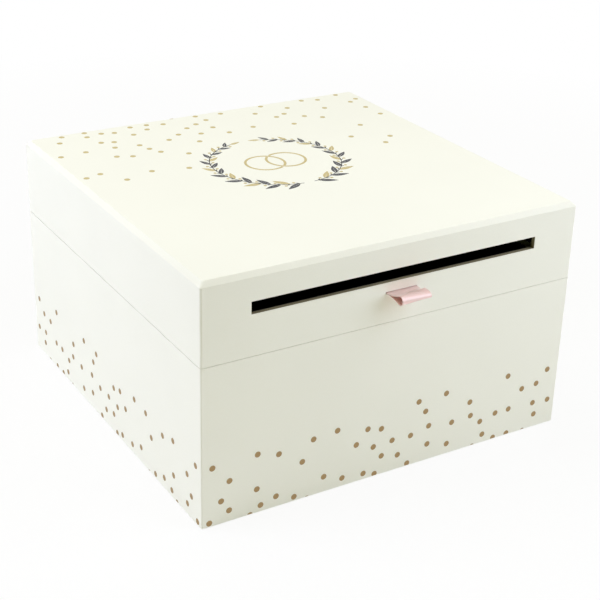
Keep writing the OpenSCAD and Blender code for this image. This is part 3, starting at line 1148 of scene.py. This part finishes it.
class CARDBOX_OT_wreath(bpy.types.Operator):
    """Print the wreath and the linked rings on the lid's top"""

    bl_idname = "cardbox.wreath"
    bl_label = "Wreath"

    def execute(self, context):
        dark, gold = wreath_meshes(settings().printing)
        prints = (("ink", dark, dark_ink, "charcoal_lining"), ("foil", gold, top_foil, "gold_foil"))
        for name, mesh, make, slot in prints:
            piece = new_piece(f"wreath_{name}", mesh, finish_of(make))
            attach(piece, "lid")
        return {"FINISHED"}


def seen_share(tree):
    """Socket that is 1 for rays that show the background: camera, glossy and transmission rays."""
    path = tree.add("LightPath", {})
    total = path.outputs["Is Camera Ray"]
    for name in ("Is Glossy Ray", "Is Transmission Ray"):
        larger = tree.add("Math", {0: total, 1: path.outputs[name]}, operation="MAXIMUM")
        total = larger.outputs["Value"]
    return total


def studio_floor(colours):
    """White floor that keeps a soft part of the shadow near the box and shows white far from it."""
    finish = Finish("studio_floor")
    tone = finish.tones(finish.grain(scale=3), shade(colours.floor, 0.99), colours.floor)
    finish.dress({"Base Color": tone, "Roughness": 0.9})
    white = finish.spread(finish.distance(), low=0.87, high=1.0, start=0.3, end=1.0)
    seen = finish.add("Math", {0: seen_share(finish), 1: white}, operation="MULTIPLY").outputs["Value"]
    glow = finish.add("Emission", {}).outputs["Emission"]
    finish.show_mix(seen, finish.shader.outputs["BSDF"], glow, "Material Output")
    return finish.material


def light_world(strength, colour):
    """Even light from all round, in front of a white background."""
    world = bpy.data.worlds.new("studio")
    world.use_nodes = True
    tree = Nodes(world.node_tree)
    light = tree.nodes["Background"]
    tree.feed(light, {"Color": (*colour, 1.0), "Strength": strength})
    white = tree.add("Background", {"Color": (*WHITE, 1.0)})
    shaders = (light.outputs["Background"], white.outputs["Background"])
    tree.show_mix(seen_share(tree), *shaders, "World Output")
    bpy.context.scene.world = world


def soft_lamp(name, place, width, power, colour):
    """A square soft light that looks at the middle of the box."""
    data = bpy.data.lights.new(name, "AREA")
    data.shape = "SQUARE"
    data.size = width
    data.energy = power
    data.color = colour
    lamp = bpy.data.objects.new(name, data)
    lamp.location = place
    lamp.rotation_euler = (UP * HINGE.z - lamp.location).to_track_quat("-Z", "Y").to_euler()
    bpy.context.scene.collection.objects.link(lamp)


def place_camera(stage):
    """The camera at the photograph's viewing angle."""
    data = bpy.data.cameras.new("camera")
    data.lens = stage.lens
    data.shift_y = stage.lift
    camera = bpy.data.objects.new("camera", data)
    heading = Matrix.Rotation(-stage.azimuth, 4, "Z")
    tilt = Matrix.Rotation(math.radians(90) - stage.elevation, 4, "X")
    roll = Matrix.Rotation(stage.roll, 4, "Z")
    camera.matrix_world = Matrix.Translation(stage.place) @ heading @ tilt @ roll
    bpy.context.scene.collection.objects.link(camera)
    bpy.context.scene.camera = camera


class CARDBOX_OT_stage(bpy.types.Operator):
    """Set up the floor, the soft light and the camera"""

    bl_idname = "cardbox.stage"
    bl_label = "Stage"

    def execute(self, context):
        stage = settings().stage
        bm = bmesh.new()
        bmesh.ops.create_grid(bm, x_segments=4, y_segments=4, size=4.0)
        new_piece("floor", bm, finish_of(studio_floor))
        light_world(stage.sky, stage.warm)
        soft_lamp("lamp_above", place=(-0.3, 0.36, 1.66), width=1.55, power=stage.above, colour=WHITE)
        soft_lamp("lamp_left", place=(-1.2, 0.45, 0.75), width=0.9, power=stage.left, colour=stage.cool)
        soft_lamp("lamp_right", place=(0.62, -0.62, 0.7), width=1.0, power=stage.right, colour=stage.mild)
        place_camera(stage)
        context.scene.view_settings.view_transform = "Standard"
        return {"FINISHED"}


class CARDBOX_PT_panel(bpy.types.Panel):
    """Lists the steps and the settings of the card box"""

    bl_idname = "CARDBOX_PT_panel"
    bl_label = "Wedding Card Box"
    bl_space_type = "VIEW_3D"
    bl_region_type = "UI"
    bl_category = "Card Box"

    def draw(self, context):
        for step in STEPS:
            self.layout.operator(step.bl_idname)
        for name in GROUPS:
            box = self.layout.box()
            group = getattr(context.scene.card_box, name)
            for prop in group.__annotations__:
                box.prop(group, prop)


STEPS = (
    CARDBOX_OT_stage,
    CARDBOX_OT_boards,
    CARDBOX_OT_wraps,
    CARDBOX_OT_neck,
    CARDBOX_OT_hinge,
    CARDBOX_OT_pull,
    CARDBOX_OT_stays,
    CARDBOX_OT_dots,
    CARDBOX_OT_wreath,
)
GROUPS = ("wrap", "ribbon", "printing", "colour", "stage")
CLASSES = (
    WrapSettings,
    RibbonSettings,
    PrintSettings,
    ColourSettings,
    StageSettings,
    CardBoxSettings,
    *STEPS,
    CARDBOX_PT_panel,
)


def register():
    for cls in CLASSES:
        bpy.utils.register_class(cls)
    bpy.types.Scene.card_box = PointerProperty(
        type=CardBoxSettings, name="Card box", description="Settings of the card box"
    )


def unregister():
    del bpy.types.Scene.card_box
    for cls in reversed(CLASSES):
        bpy.utils.unregister_class(cls)


def main():
    """Make every piece in order."""
    register()
    bpy.ops.cardbox.stage()
    bpy.ops.cardbox.boards()
    bpy.ops.cardbox.wraps()
    bpy.ops.cardbox.neck()
    bpy.ops.cardbox.hinge()
    bpy.ops.cardbox.pull()
    bpy.ops.cardbox.stays()
    bpy.ops.cardbox.dots()
    bpy.ops.cardbox.wreath()


if __name__ == "__main__":
    main()
